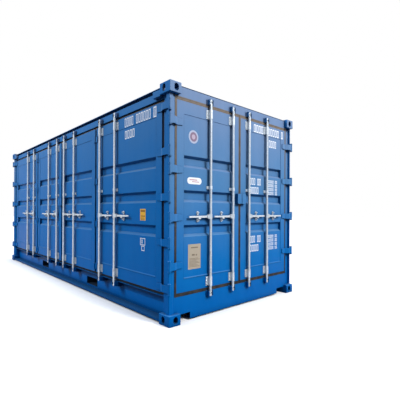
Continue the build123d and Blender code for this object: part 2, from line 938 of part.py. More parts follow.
def rod_with_cams(wall, place, low, high, hub_side):
    """Lock rod: a tube, a forged cam at each end and the hub for its handle."""
    with BuildSketch(level(wall, low + cam_length)) as shape:
        with Locations((place, rod_recess)):
            Circle(rod_radius)
            Circle(rod_radius - rod_wall, mode=Mode.SUBTRACT)
    extrude(shape.sketch, amount=high - low - 2 * cam_length)
    for tip, away in ((low, 1), (high, -1)):
        for start, stop, radius in (
            (0, cam_length, cam_neck),
            (0, cam_knob, cam_knob_radius),
            (cam_length - cam_collar, cam_length, rod_radius),
        ):
            with BuildSketch(level(wall, tip + away * start)) as shape:
                with Locations((place, rod_recess)):
                    Circle(radius)
            extrude(shape.sketch, amount=away * (stop - start))
        for start in (cam_knob, cam_length - cam_collar - cam_lobe):
            with BuildSketch(level(wall, tip + away * start)) as shape:
                with Locations((place, rod_recess)):
                    SlotOverall(2 * cam_reach, 2 * cam_web)
            extrude(shape.sketch, amount=away * cam_lobe)
    with BuildSketch(level(wall, handle_height - hub_high / 2)) as shape:
        with Locations((place, rod_recess)):
            Circle(hub_sleeve)
            Circle(rod_radius - rod_wall, mode=Mode.SUBTRACT)
    extrude(shape.sketch, amount=hub_high)
    cheek_out = handle_thick / 2 + handle_cheek_gap + hub_cheek
    pin_u = place + hub_side * hub_reach
    for depth in (rod_recess - cheek_out, rod_recess + cheek_out - hub_cheek):
        with BuildSketch(wall.offset(-depth)) as shape:
            with Locations((pin_u, handle_height)):
                Circle(hub_eye)
            with Locations((place + hub_side * rod_radius, handle_height)):
                Rectangle(rod_wall, hub_high)
            make_hull()
        extrude(shape.sketch, amount=-hub_cheek)
    with BuildSketch(wall.offset(-(rod_recess - cheek_out))) as shape:
        with Locations((pin_u, handle_height)):
            Circle(handle_pin_radius)
    extrude(shape.sketch, amount=-2 * cheek_out)


def rod_handle(wall, place, hub_side):
    """Handle bar that lies along the leaf and lifts about its pin."""
    eye = hub_side * hub_reach
    tip = hub_side * handle_reach
    with BuildSketch(wall.offset(-(rod_recess - handle_thick / 2))) as shape:
        with BuildLine():
            Polyline(
                (place + eye, handle_height - handle_root_high / 2),
                (place + tip, handle_height - handle_tip_high / 2),
                (place + tip, handle_height + handle_tip_high / 2),
                (place + eye, handle_height + handle_root_high / 2),
                close=True,
            )
        make_face()
        with Locations((place + eye, handle_height)):
            Circle(handle_eye)
            Circle(handle_pin_radius + pin_play, mode=Mode.SUBTRACT)
        with Locations((place + tip, handle_height)):
            Circle(handle_tip_high / 2)
    extrude(shape.sketch, amount=-handle_thick)


def rod_bracket(wall, place, middle, high, plate_side, plate_reach, seat):
    """Bearing bracket: a plate on the leaf and a strap round the rod.

    seat is the depth of the face that the strap stands on.
    """
    strap_in = rod_radius + strap_play
    strap_out = strap_in + strap_thick
    plate_near = strap_out - bracket_plate
    with BuildSketch(level(wall, middle - high / 2)) as shape:
        with Locations((place, rod_recess)):
            Circle(strap_out)
        with Locations((place, (rod_recess + seat) / 2)):
            Rectangle(2 * strap_out, seat - rod_recess)
        with Locations(
            (
                place + plate_side * (plate_near + plate_reach) / 2,
                door_recess - bracket_plate / 2,
            )
        ):
            Rectangle(plate_reach - plate_near, bracket_plate)
        with Locations((place, rod_recess)):
            Circle(strap_in, mode=Mode.SUBTRACT)
    extrude(shape.sketch, amount=high)


def rod_fittings(wall, places, leaf_low, leaf_high, plate_side):
    """Brackets and mid guides for the rods at these places."""
    for place in places:
        for middle in (leaf_low + bracket_low, leaf_high - bracket_down):
            rod_bracket(wall, place, middle, bracket_high, plate_side, bracket_reach,
                        door_recess)
        rod_bracket(wall, place, guide_height, guide_high, plate_side, guide_reach,
                    door_recess + panel_step)


def handle_catch(wall, place, hub_side):
    """Catch in two halves over and under the handle, with a ledge on the lower."""
    middle = place + hub_side * catch_place
    lobe = (catch_high - catch_width) / 2
    for flip in (-1, 1):
        with BuildSketch(wall.offset(-(door_recess - catch_plate))) as shape:
            with Locations((middle, handle_height + flip * (catch_split + lobe) / 2)):
                Rectangle(catch_waist, lobe - catch_split)
            with Locations((middle, handle_height + flip * lobe)):
                Circle(catch_width / 2)
        extrude(shape.sketch, amount=-catch_plate - panel_step)
        with BuildSketch(
            wall.offset(-(door_recess - catch_plate - catch_boss))
        ) as shape:
            with Locations((middle, handle_height + flip * lobe)):
                Circle(catch_boss_radius)
        extrude(shape.sketch, amount=-catch_boss)
    share = (catch_place - hub_reach) / (handle_reach - hub_reach)
    bar_half = (handle_root_high + share * (handle_tip_high - handle_root_high)) / 2
    top = handle_height - bar_half - catch_play
    slab(wall, middle - catch_width / 2, middle + catch_width / 2,
         top - catch_ledge, top, rod_recess - handle_thick / 2 - catch_lip,
         door_recess + panel_step)


def keeper(wall, place, middle):
    """Two horns on the frame, one each side of a cam, each with a foot."""
    near = cam_reach + horn_gap
    far = near + horn_thick
    chamfer_back = horn_recess + horn_thick
    outline = [
        (near, horn_recess),
        (far - horn_thick / 3, horn_recess),
        (far, chamfer_back),
        (far, door_recess - horn_foot_thick),
        (far + horn_foot, door_recess - horn_foot_thick),
        (far + horn_foot, door_recess),
        (near, door_recess),
    ]
    for side in (-1, 1):
        with BuildSketch(level(wall, middle - horn_height / 2)) as shape:
            with BuildLine():
                Polyline(*[(place + side * s, d) for s, d in outline], close=True)
            make_face()
        extrude(shape.sketch, amount=horn_height)


def rod_keepers():
    with BuildPart() as keepers:
        for wall, places, low, high in (
            (DOOR_END, end_rod_places, end_rod_low, end_rod_high),
            (DOOR_SIDE, side_rod_places, side_rod_low, side_rod_high),
        ):
            for place in places:
                for side in (-1, 1):
                    keeper(wall, side * place, low + cam_length / 2)
                    keeper(wall, side * place, high - cam_length / 2)
    return finish(keepers.part, "rod_keepers")


def hinge_pins():
    with BuildPart() as pins:
        for side in (-1, 1):
            for middle in end_hinge_heights:
                hinge_pin(DOOR_END, side, middle)
            for middle in side_hinge_heights:
                hinge_pin(DOOR_SIDE, side, middle)
    return finish(pins.part, "hinge_pins")


def end_door(side, name):
    """One swing door of the end: leaf, seal, blades, rod fittings and rods."""
    low, high = sorted((side * seam_half, side * end_leaf_outer))
    pieces = [
        door_leaf(DOOR_END, low, high, end_leaf_low, end_leaf_high,
                  f"end_door_{name}"),
    ]
    with BuildPart() as box:
        lock_box(DOOR_END, side, end_leaf_low, end_leaf_high)
    pieces.append(finish(box.part, f"lock_box_{name}"))
    reach_low = seam_reach if side > 0 else frame_reach
    reach_high = frame_reach if side > 0 else seam_reach
    with BuildPart() as seal:
        seal_ring(DOOR_END, low, high, end_leaf_low, end_leaf_high,
                  reach_low, reach_high, frame_reach)
    pieces.append(finish(seal.part, f"door_seal_{name}"))
    with BuildPart() as blades:
        for middle in end_hinge_heights:
            hinge_blade(DOOR_END, side, middle, end_leaf_outer)
    pieces.append(finish(blades.part, f"hinge_blades_{name}"))
    places = [side * place for place in end_rod_places]
    with BuildPart() as fittings:
        rod_fittings(DOOR_END, places, end_leaf_low, end_leaf_high, -1)
        for place in places:
            handle_catch(DOOR_END, place, side)
    pieces.append(finish(fittings.part, f"rod_fittings_{name}"))
    for place, spot in zip(places, ("inner", "outer")):
        with BuildPart() as rod:
            rod_with_cams(DOOR_END, place, end_rod_low, end_rod_high, side)
        pieces.append(finish(rod.part, f"lock_rod_{name}_{spot}"))
        with BuildPart() as handle:
            rod_handle(DOOR_END, place, side)
        pieces.append(finish(handle.part, f"rod_handle_{name}_{spot}"))
    return pieces


def side_doors():
    """The four folding leaves, closed, with their seals, hinges and rods."""
    fold = side_leaf_fold
    outer = side_leaf_outer
    leaves = (
        ("a", fold + seam_half, outer, seam_reach, side_post_reach),
        ("b", seam_half, fold - seam_half, seam_reach, seam_reach),
        ("c", seam_half - fold, -seam_half, seam_reach, seam_reach),
        ("d", -outer, -fold - seam_half, side_post_reach, seam_reach),
    )
    pieces = []
    for letter, u0, u1, reach_u0, reach_u1 in leaves:
        pieces.append(
            door_leaf(DOOR_SIDE, u0, u1, side_leaf_low, side_leaf_high,
                      f"side_leaf_{letter}")
        )
    with BuildPart() as seals:
        for letter, u0, u1, reach_u0, reach_u1 in leaves:
            seal_ring(DOOR_SIDE, u0, u1, side_leaf_low, side_leaf_high,
                      reach_u0, reach_u1, frame_reach, side_seal_step)
    pieces.append(finish(seals.part, "side_door_seals"))
    with BuildPart() as boxes:
        for side in (-1, 1):
            lock_box(DOOR_SIDE, side, side_leaf_low, side_leaf_high)
    pieces.append(finish(boxes.part, "side_lock_box"))
    with BuildPart() as hinges:
        for side in (-1, 1):
            for middle in side_hinge_heights:
                hinge_blade(DOOR_SIDE, side, middle, outer)
            for middle in fold_hinge_heights:
                fold_hinge(DOOR_SIDE, side * fold, middle)
    pieces.append(finish(hinges.part, "side_door_hinges"))
    rod_places = [
        (side * place, side) for place in side_rod_places for side in (-1, 1)
    ]
    with BuildPart() as rods:
        for place, side in rod_places:
            rod_with_cams(DOOR_SIDE, place, side_rod_low, side_rod_high, side)
    pieces.append(finish(rods.part, "side_lock_rods"))
    with BuildPart() as handles:
        for place, side in rod_places:
            rod_handle(DOOR_SIDE, place, side)
    pieces.append(finish(handles.part, "side_rod_handles"))
    with BuildPart() as fittings:
        rod_fittings(DOOR_SIDE, [place for place, side in rod_places],
                     side_leaf_low, side_leaf_high, 1)
        for place, side in rod_places:
            handle_catch(DOOR_SIDE, place, side)
    pieces.append(finish(fittings.part, "side_rod_fittings"))
    return pieces


container = [
    corner_castings(),
    door_end_posts(),
    rear_end_posts(),
    door_headers(),
    door_sill(),
    side_door_sill(),
    plain_sills(),
    sill_webs(),
    plain_top_rails(),
    corrugated_walls(),
    roof_panel(),
    floor_boards(),
    cross_members(),
    rod_keepers(),
    hinge_pins(),
]
container += fork_pockets()
container += side_doors()
container += end_door(-1, "left")
container += end_door(1, "right")
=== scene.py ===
import math

import bmesh
import bpy
from mathutils import Matrix, Vector


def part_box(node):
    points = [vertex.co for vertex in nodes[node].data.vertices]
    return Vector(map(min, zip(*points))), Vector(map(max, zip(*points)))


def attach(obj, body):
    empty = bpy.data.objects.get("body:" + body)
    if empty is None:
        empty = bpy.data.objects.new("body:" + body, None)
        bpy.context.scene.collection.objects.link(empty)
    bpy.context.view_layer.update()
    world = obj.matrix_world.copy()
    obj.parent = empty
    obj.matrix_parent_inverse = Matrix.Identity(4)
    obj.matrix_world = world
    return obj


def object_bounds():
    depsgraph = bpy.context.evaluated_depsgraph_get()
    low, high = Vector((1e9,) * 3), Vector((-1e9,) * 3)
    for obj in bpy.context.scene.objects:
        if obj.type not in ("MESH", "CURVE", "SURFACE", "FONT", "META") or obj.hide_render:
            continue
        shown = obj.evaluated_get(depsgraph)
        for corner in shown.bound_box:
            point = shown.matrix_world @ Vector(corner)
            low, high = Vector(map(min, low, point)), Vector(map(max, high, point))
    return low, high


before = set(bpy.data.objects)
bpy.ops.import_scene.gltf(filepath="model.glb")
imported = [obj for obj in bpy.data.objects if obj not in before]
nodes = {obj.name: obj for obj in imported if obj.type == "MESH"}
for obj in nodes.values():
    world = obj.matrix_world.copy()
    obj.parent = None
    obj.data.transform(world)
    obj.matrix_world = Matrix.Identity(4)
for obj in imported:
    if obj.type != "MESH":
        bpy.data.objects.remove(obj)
cad_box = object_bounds()
lowest, highest = cad_box

# The view. The camera is the pinhole that fits the cast corners in the photograph: it
# stands 1.2 m above the ground, off the corner between the two walls with doors.
scene = bpy.context.scene
scene.view_settings.view_transform = "Standard"

sensor_width = 36.0
lens_share = 0.80806
eye = (5.5992, -3.3699, 1.2196)
pitch, roll, heading = 0.00267, -0.00421, 0.87229
camera_data = bpy.data.cameras.new("camera")
camera_data.sensor_width = sensor_width
camera_data.lens = sensor_width * lens_share
camera_data.shift_x = 0.0746
camera_data.shift_y = 0.0249
camera_data.clip_end = 200.0
camera = bpy.data.objects.new("camera", camera_data)
camera.location = eye
camera.rotation_euler = (math.radians(90.0) + pitch, roll, heading)
scene.collection.objects.link(camera)
scene.camera = camera

# The daylight. A bright sky from two large soft boxes, one to the right of the end
# doors and a slightly bluer one to the left of the side doors, and a pale sky dome that
# fills the rest. To the eye and in reflections the sky is plain white.
dome_low, dome_high = -0.1, 0.7
dome_low_level, dome_high_level = 0.06, 0.70


def linear(code):
    """Scene-linear colour with alpha from an sRGB hex code."""
    parts = [int(code[start:start + 2], 16) / 255.0 for start in (1, 3, 5)]
    return tuple(
        c / 12.92 if c <= 0.04045 else ((c + 0.055) / 1.055) ** 2.4 for c in parts
    ) + (1.0,)


def soft_box(name, place, target, size, power, tint):
    """Square area lamp that looks from its place to its target."""
    lamp = bpy.data.lights.new(name, "AREA")
    lamp.shape = "SQUARE"
    lamp.size = size
    lamp.energy = power
    lamp.color = linear(tint)[:3]
    lamp_object = bpy.data.objects.new(name, lamp)
    lamp_object.location = place
    aim = Vector(target) - Vector(place)
    lamp_object.rotation_euler = aim.to_track_quat("-Z", "Y").to_euler()
    scene.collection.objects.link(lamp_object)


soft_box(
    name="sky_over_end_doors", place=(10.0, 1.2, 7.0), target=(3.0, 0.0, 1.3),
    size=3.0, power=1040.0, tint="#ffffff",
)
soft_box(
    name="sky_over_side_doors", place=(-3.0, -9.5, 9.0), target=(0.0, -1.2, 1.3),
    size=4.0, power=1130.0, tint="#f3f8ff",
)


def add_node(tree, kind, settings=None, links=None):
    """Adds a shader node with its settings and links.

    Keys are attribute names, input names or input numbers. A link comes from an
    output socket or from the first output of a node.
    """
    made = tree.nodes.new(kind)
    for key, value in (settings or {}).items():
        if isinstance(key, str) and hasattr(made, key):
            setattr(made, key, value)
        else:
            made.inputs[key].default_value = value
    for key, source in (links or {}).items():
        output = source.outputs[0] if isinstance(source, bpy.types.Node) else source
        tree.links.new(output, made.inputs[key])
    return made


def backdrop_share(tree):
    """1 for the eye, for reflections and through glass, and 0 for the light itself."""
    ray = add_node(tree, "ShaderNodeLightPath")
    seen = add_node(
        tree, "ShaderNodeMath", {"operation": "MAXIMUM"},
        {0: ray.outputs["Is Camera Ray"], 1: ray.outputs["Is Transmission Ray"]},
    )
    return add_node(
        tree, "ShaderNodeMath", {"operation": "MAXIMUM"},
        {0: seen, 1: ray.outputs["Is Glossy Ray"]},
    )


world = bpy.data.worlds.new("bright_sky")
world.use_nodes = True
scene.world = world
tree = world.node_tree
tree.nodes.clear()
direction = add_node(tree, "ShaderNodeTexCoord")
upward = add_node(
    tree, "ShaderNodeSeparateXYZ", links={0: direction.outputs["Generated"]}
)
dome_level = add_node(
    tree, "ShaderNodeMapRange",
    {"From Min": dome_low, "From Max": dome_high,
     "To Min": dome_low_level, "To Max": dome_high_level},
    {0: upward.outputs["Z"]},
)
dome = add_node(
    tree, "ShaderNodeBackground", {"Color": linear("#eef4ff")}, {"Strength": dome_level}
)
white = add_node(
    tree, "ShaderNodeBackground", {"Color": linear("#ffffff"), "Strength": 1.0}
)
sky = add_node(
    tree, "ShaderNodeMixShader", links={0: backdrop_share(tree), 1: dome, 2: white}
)
add_node(tree, "ShaderNodeOutputWorld", links={0: sky})

# The floor. A smooth studio floor, white to the eye and in reflections, with the soft
# shadow of the container, deepened below it and nearby by a painted shadow where its
# glow fades. It gives back little light, as asphalt does.
floor_reach = 60.0
painted_shadow_start, painted_shadow_end = -0.10, 0.40
near_glow = 0.42
far_start, far_end = 1.0, 6.0
far_glow = 0.9


def empty_material(name):
    """New material with no nodes yet, and its node tree."""
    material = bpy.data.materials.new(name)
    material.use_nodes = True
    material.node_tree.nodes.clear()
    return material, material.node_tree


studio_floor, tree = empty_material("white_studio_floor")
grey_bounce = add_node(tree, "ShaderNodeBsdfDiffuse", {"Color": linear("#3a3b3d")})
white_coat = add_node(tree, "ShaderNodeBsdfDiffuse", {"Color": linear("#f2f2f2")})
coord = add_node(tree, "ShaderNodeTexCoord")
from_middle = add_node(
    tree, "ShaderNodeVectorMath", {"operation": "ABSOLUTE"}, {0: coord.outputs["Object"]}
)
from_walls = add_node(
    tree, "ShaderNodeVectorMath",
    {"operation": "SUBTRACT", 1: (highest.x, highest.y, 0.0)}, {0: from_middle},
)
spot = add_node(tree, "ShaderNodeSeparateXYZ", links={0: from_walls})
outside = add_node(
    tree, "ShaderNodeMath", {"operation": "MAXIMUM"},
    {0: spot.outputs["X"], 1: spot.outputs["Y"]},
)
# Painted shadow: the floor's glow fades towards the container, in two steps.
glow_nearby = add_node(
    tree, "ShaderNodeMapRange",
    {"interpolation_type": "SMOOTHSTEP", "From Min": painted_shadow_start, "From Max": painted_shadow_end,
     "To Min": 0.0, "To Max": near_glow},
    {0: outside},
)
glow_level = add_node(
    tree, "ShaderNodeMapRange",
    {"interpolation_type": "SMOOTHSTEP", "From Min": far_start, "From Max": far_end,
     "To Max": far_glow},
    {0: outside, "To Min": glow_nearby},
)
white_glow = add_node(
    tree, "ShaderNodeEmission", {"Color": linear("#ffffff")}, {"Strength": glow_level}
)
lit_white = add_node(tree, "ShaderNodeAddShader", links={0: white_coat, 1: white_glow})
surface = add_node(
    tree, "ShaderNodeMixShader",
    links={0: backdrop_share(tree), 1: grey_bounce, 2: lit_white},
)
add_node(tree, "ShaderNodeOutputMaterial", links={0: surface})
floor_mesh = bpy.data.meshes.new("floor")
floor_mesh.from_pydata(
    [(-floor_reach, -floor_reach, 0.0), (floor_reach, -floor_reach, 0.0),
     (floor_reach, floor_reach, 0.0), (-floor_reach, floor_reach, 0.0)],
    [], [(0, 1, 2, 3)],
)
floor_mesh.materials.append(studio_floor)
floor = bpy.data.objects.new("floor", floor_mesh)
scene.collection.objects.link(floor)

# The welded frame: rails, sills, posts, walls and roof. Weathering steel, shot blasted,
# zinc primed and sprayed with blue acrylic topcoat: a satin film with orange peel, in
# patches of random tone. Its colour pales high up, on ledges and on the end wall as a
# painted sheen of sky reflection, and darkens in corners as painted shade.
fresh_blue = "#0062b2"
# Colours of the painted sheen of sky reflection, and the heights it grows between.
part_sheen = ((0.20, "#0b6cb6"), (0.60, "#4c7dad"))
sheen_blue = "#6f85a8"
sheen_bottom, sheen_top = 0.05, 2.60
# Painted highlight on faces that look up.
ledge_sheen = 0.35
# A noise texture keeps to about this range.
noise_low, noise_high = 0.3, 0.7
cloud_width = 0.7143
cloud_haze = 0.07
rain_streak = 0.11
streak_length = 1.6667
sheet_wave = 0.35
wave_depth = 0.010
orange_peel = 0.004
peel_depth = 0.00015
edge_round = 0.004
# Painted shade: corners within this reach of another face darken, down to this level.
corner_reach = 0.11
corner_level = 0.45


def acrylic_topcoat(name, side_sheen, grit=orange_peel, grit_depth=peel_depth,
                    shade_reach=corner_reach, shade_level=corner_level):
    """Blue acrylic paint.

    The long sides take a share, from 0 to 1, of the painted sheen of sky reflection that
    pales the end wall. Corners near another face darken with painted shade, within a
    reach and down to a level that the last two arguments give.
    """
    material, tree = empty_material(name)
    coord = add_node(tree, "ShaderNodeTexCoord")
    here = coord.outputs["Object"]
    place = add_node(tree, "ShaderNodeSeparateXYZ", links={0: here})
    facing = add_node(tree, "ShaderNodeSeparateXYZ", links={0: coord.outputs["Normal"]})
    # Painted sheen: the colour pales with height and on faces towards the end, standing in
    # for a reflection of the sky.
    towards_end = add_node(
        tree, "ShaderNodeMath", {"operation": "ABSOLUTE"}, {0: facing.outputs["X"]}
    )
    end_share = add_node(
        tree, "ShaderNodeMapRange",
        {"From Min": 0.35, "From Max": 0.85, "To Min": side_sheen, "To Max": 1.0},
        {0: towards_end},
    )
    rise = add_node(
        tree, "ShaderNodeMapRange",
        {"From Min": sheen_bottom, "From Max": sheen_top}, {0: place.outputs["Z"]},
    )
    cloud = add_node(
        tree, "ShaderNodeTexNoise",
        {"Scale": 1.0 / cloud_width, "Detail": 6.0, "Roughness": 0.62}, {"Vector": here},
    )
    cloud_shift = add_node(
        tree, "ShaderNodeMapRange",
        {"From Min": noise_low, "From Max": noise_high,
         "To Min": -cloud_haze, "To Max": cloud_haze},
        {0: cloud},
    )
    # Painted highlight: faces that look upward are paler, like ledges catching the sky.
    ledge_highlight = add_node(
        tree, "ShaderNodeMapRange",
        {"From Min": 0.25, "From Max": 0.75, "To Min": 0.0, "To Max": ledge_sheen},
        {0: facing.outputs["Z"]},
    )
    patches_and_painted_light = add_node(
        tree, "ShaderNodeMath", {"operation": "ADD"}, {0: cloud_shift, 1: ledge_highlight}
    )
    sheen_and_tone = add_node(
        tree, "ShaderNodeMath", {"operation": "MULTIPLY_ADD", "use_clamp": True},
        {0: rise, 1: end_share, 2: patches_and_painted_light},
    )
    colour = add_node(tree, "ShaderNodeValToRGB", links={0: sheen_and_tone})
    stops = colour.color_ramp.elements
    stops[0].color = linear(fresh_blue)
    stops[1].color = linear(sheen_blue)
    for position, code in part_sheen:
        stops.new(position).color = linear(code)
    streak_space = add_node(
        tree, "ShaderNodeMapping",
        {"Scale": (1.0 / rain_streak, 1.0 / rain_streak, 1.0 / streak_length)},
        {"Vector": here},
    )
    streak = add_node(
        tree, "ShaderNodeTexNoise", {"Scale": 1.0, "Detail": 3.0},
        {"Vector": streak_space},
    )
    streak_shade = add_node(
        tree, "ShaderNodeMapRange",
        {"From Min": noise_low, "From Max": noise_high, "To Min": 0.97, "To Max": 1.02},
        {0: streak},
    )
    # Painted shade: ambient occlusion darkens the colour in corners, recesses and beside
    # other parts.
    corner = add_node(
        tree, "ShaderNodeAmbientOcclusion", {"samples": 8, "Distance": shade_reach}
    )
    corner_shade = add_node(
        tree, "ShaderNodeMapRange",
        {"From Min": 0.35, "From Max": 0.95, "To Min": shade_level, "To Max": 1.0},
        {0: corner.outputs["AO"]},
    )
    shade = add_node(
        tree, "ShaderNodeMath", {"operation": "MULTIPLY"},
        {0: streak_shade, 1: corner_shade},
    )
    shaded = add_node(
        tree, "ShaderNodeVectorMath", {"operation": "SCALE"}, {0: colour, "Scale": shade}
    )
    rounded = add_node(tree, "ShaderNodeBevel", {"samples": 4, "Radius": edge_round})
    waves = add_node(
        tree, "ShaderNodeTexNoise", {"Scale": 1.0 / sheet_wave, "Detail": 1.0},
        {"Vector": here},
    )
    wave_bump = add_node(
        tree, "ShaderNodeBump", {"Strength": 0.25, "Distance": wave_depth},
        {"Height": waves, "Normal": rounded},
    )
    grain = add_node(
        tree, "ShaderNodeTexNoise", {"Scale": 1.0 / grit, "Detail": 2.0},
        {"Vector": here},
    )
    grain_bump = add_node(
        tree, "ShaderNodeBump", {"Strength": 0.6, "Distance": grit_depth},
        {"Height": grain, "Normal": wave_bump},
    )
    roughness = add_node(
        tree, "ShaderNodeMapRange",
        {"From Min": noise_low, "From Max": noise_high, "To Min": 0.38, "To Max": 0.52},
        {0: cloud},
    )
    shader = add_node(
        tree, "ShaderNodeBsdfPrincipled", {"IOR": 1.5, "Specular IOR Level": 0.05},
        {"Base Color": shaded, "Roughness": roughness, "Normal": grain_bump},
    )
    add_node(tree, "ShaderNodeOutputMaterial", links={0: shader})
    return material


def finish_nodes(names, material):
    """Gives carried-over pieces their finish."""
    for name in names:
        nodes[name].data.materials.clear()
        nodes[name].data.materials.append(material)


frame_paint = acrylic_topcoat("blue_acrylic_on_frame", side_sheen=0.40)
finish_nodes(
    ["rear_end_posts", "door_headers", "door_sill", "plain_sills", "sill_webs",
     "plain_top_rails", "corrugated_walls", "roof_panel", "rod_keepers", "hinge_pins"],
    frame_paint,
)

# The posts at the end doors and the sill below the side doors. The same steel and
# paint: the posts take only light painted corner shade, and the sheltered sill takes
# deep painted shade from far around and little painted sheen.
post_paint = acrylic_topcoat("blue_acrylic_on_posts", side_sheen=0.40, shade_level=0.85)
finish_nodes(["door_end_posts"], post_paint)
sill_paint = acrylic_topcoat(
    "blue_acrylic_on_side_sill", side_sheen=0.10, shade_reach=0.35, shade_level=0.25
)
finish_nodes(["side_door_sill"], sill_paint)

# The understructure. The same steel and paint below the floor, near black and matt: a
# waxy underseal with road grime, darkened further as painted shade for the shadowed
# insides of the fork pockets.
grime_patch = 0.1667
# A colour Mix node takes its colours at inputs 6 and 7 and gives them at output 2.
first_colour, second_colour, mixed = 6, 7, 2
underseal_and_painted_shade, tree = empty_material("underseal_with_painted_shade")
coord = add_node(tree, "ShaderNodeTexCoord")
grime = add_node(
    tree, "ShaderNodeTexNoise", {"Scale": 1.0 / grime_patch, "Detail": 5.0},
    {"Vector": coord.outputs["Object"]},
)
colour = add_node(
    tree, "ShaderNodeMix",
    {"data_type": "RGBA", first_colour: linear("#0a1420"),
     second_colour: linear("#152a40")},
    {0: grime},
)
shader = add_node(
    tree, "ShaderNodeBsdfPrincipled", {"Roughness": 0.8, "Specular IOR Level": 0.2},
    {"Base Color": colour.outputs[mixed]},
)
add_node(tree, "ShaderNodeOutputMaterial", links={0: shader})
finish_nodes(["cross_members", "fork_pocket_plates", "fork_pocket_sides"], underseal_and_painted_shade)

# The corner castings. Cast steel, painted with the frame: the same blue, over the rough
# skin that the sand of the mould leaves, drawn coarser than the real one to show.
sand_grain = 0.006
sand_depth = 0.0006
casting_paint = acrylic_topcoat(
    "blue_acrylic_on_cast_steel", side_sheen=0.30, grit=sand_grain, grit_depth=sand_depth
)
finish_nodes(["corner_castings"], casting_paint)

# The floor boards. 28 mm keruing plywood, oiled, laid across the joists and screwed
# down at each: red brown, with a dark joint at each board, and long open grain that is
# drawn wider than the real one to show.
board_length = 1.15
board_width = 2.4
joint_width = 0.003
grain_width = 0.025
grain_length = 0.6667
grain_depth = 0.0006
plywood, tree = empty_material("oiled_keruing_plywood")
coord = add_node(tree, "ShaderNodeTexCoord")
here = coord.outputs["Object"]
grain_space = add_node(
    tree, "ShaderNodeMapping",
    {"Scale": (1.0 / grain_width, 1.0 / grain_length, 1.0 / grain_width)},
    {"Vector": here},
)
grain = add_node(
    tree, "ShaderNodeTexNoise", {"Scale": 1.0, "Detail": 8.0}, {"Vector": grain_space}
)
colour = add_node(
    tree, "ShaderNodeMix",
    {"data_type": "RGBA", first_colour: linear("#5c3920"),
     second_colour: linear("#a37548")},
    {0: grain},
)
board_space = add_node(
    tree, "ShaderNodeMapping", {"Location": (0.0, board_width / 2, 0.0)},
    {"Vector": here},
)
boards = add_node(
    tree, "ShaderNodeTexBrick",
    {"offset": 0.0, "Scale": 1.0, "Mortar Size": joint_width / 2,
     "Brick Width": board_length, "Row Height": board_width,
     "Mortar": linear("#1c120a")},
    {"Vector": board_space, "Color1": colour.outputs[mixed],
     "Color2": colour.outputs[mixed]},
)
grain_bump = add_node(
    tree, "ShaderNodeBump", {"Strength": 0.4, "Distance": grain_depth},
    {"Height": grain},
)
shader = add_node(
    tree, "ShaderNodeBsdfPrincipled", {"Roughness": 0.55},
    {"Base Color": boards, "Normal": grain_bump},
)
add_node(tree, "ShaderNodeOutputMaterial", links={0: shader})
finish_nodes(["floor_boards"], plywood)

# The door leaves. Pressed sheet in a frame of box section, seam welded and painted as
# the frame is. The weld is a thin bead, with ripples drawn coarser than the real ones
# to show, and a fillet at the foot of each sheet slopes out and sheds the rain.
door_recess = 0.052
stile_width = 0.105
top_rail_high = 0.139
bottom_rail_high = 0.150
press_pitch = 0.385
press_height = 0.132
press_count = 3
bead_radius = 0.005
bead_sink = 0.002
bead_ripple = 0.014
ripple_narrow = 0.82
bead_flatness = 0.7
fillet_high = 0.012
fillet_out = 0.006
fillet_low = 0.002
fillet_back = -0.004
door_paint = acrylic_topcoat("blue_acrylic_on_doors", side_sheen=0.45)

# Points on a wall are (along it, height, out from the door face), until its matrix
# puts them in place.
end_wall = Matrix((
    (0.0, 0.0, 1.0, highest.x - door_recess),
    (1.0, 0.0, 0.0, 0.0),
    (0.0, 1.0, 0.0, 0.0),
    (0.0, 0.0, 0.0, 1.0),
))
side_wall = Matrix((
    (1.0, 0.0, 0.0, 0.0),
    (0.0, 0.0, -1.0, lowest.y + door_recess),
    (0.0, 1.0, 0.0, 0.0),
    (0.0, 0.0, 0.0, 1.0),
))
# Wall, axis along that wall and body of each leaf.
leaves = {
    "side_leaf_a": (side_wall, 0, "container"),
    "side_leaf_b": (side_wall, 0, "container"),
    "side_leaf_c": (side_wall, 0, "container"),
    "side_leaf_d": (side_wall, 0, "container"),
    "end_door_left": (end_wall, 1, "door_left"),
    "end_door_right": (end_wall, 1, "door_right"),
}
finish_nodes(
    list(leaves) + ["lock_box_left", "lock_box_right", "side_lock_box"], door_paint
)


def make_piece(name, shape, matrix, material, body):
    """Turns a bmesh in wall coordinates into a piece that moves with a body."""
    bmesh.ops.transform(shape, matrix=matrix, verts=shape.verts)
    bmesh.ops.recalc_face_normals(shape, faces=shape.faces)
    mesh = bpy.data.meshes.new(name)
    shape.to_mesh(mesh)
    shape.free()
    mesh.materials.append(material)
    made = bpy.data.objects.new(name, mesh)
    scene.collection.objects.link(made)
    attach(made, body)


def weld_bead(shape, start, end):
    """Half-round bead from start to end on a wall, with a ripple at each pulse."""
    run = Vector(end) - Vector(start)
    across = Vector((-run.y, run.x, 0.0)).normalized()
    steps = max(2, round(run.length / bead_ripple))
    rings = []
    for step in range(2 * steps + 1):
        radius = bead_radius * (ripple_narrow if step % 2 else 1.0)
        middle = Vector(start) + run * step / (2 * steps)
        ring = []
        for angle in (0.0, 60.0, 120.0, 180.0):
            turn = math.radians(angle)
            point = middle + across * radius * math.cos(turn)
            point.z += radius * bead_flatness * math.sin(turn)
            ring.append(shape.verts.new(point))
        rings.append(ring)
    for before, after in zip(rings, rings[1:]):
        for one, two in ((0, 1), (1, 2), (2, 3), (3, 0)):
            side = shape.faces.new((before[one], before[two], after[two], after[one]))
            side.smooth = True
    shape.faces.new(rings[0])
    shape.faces.new(rings[-1])


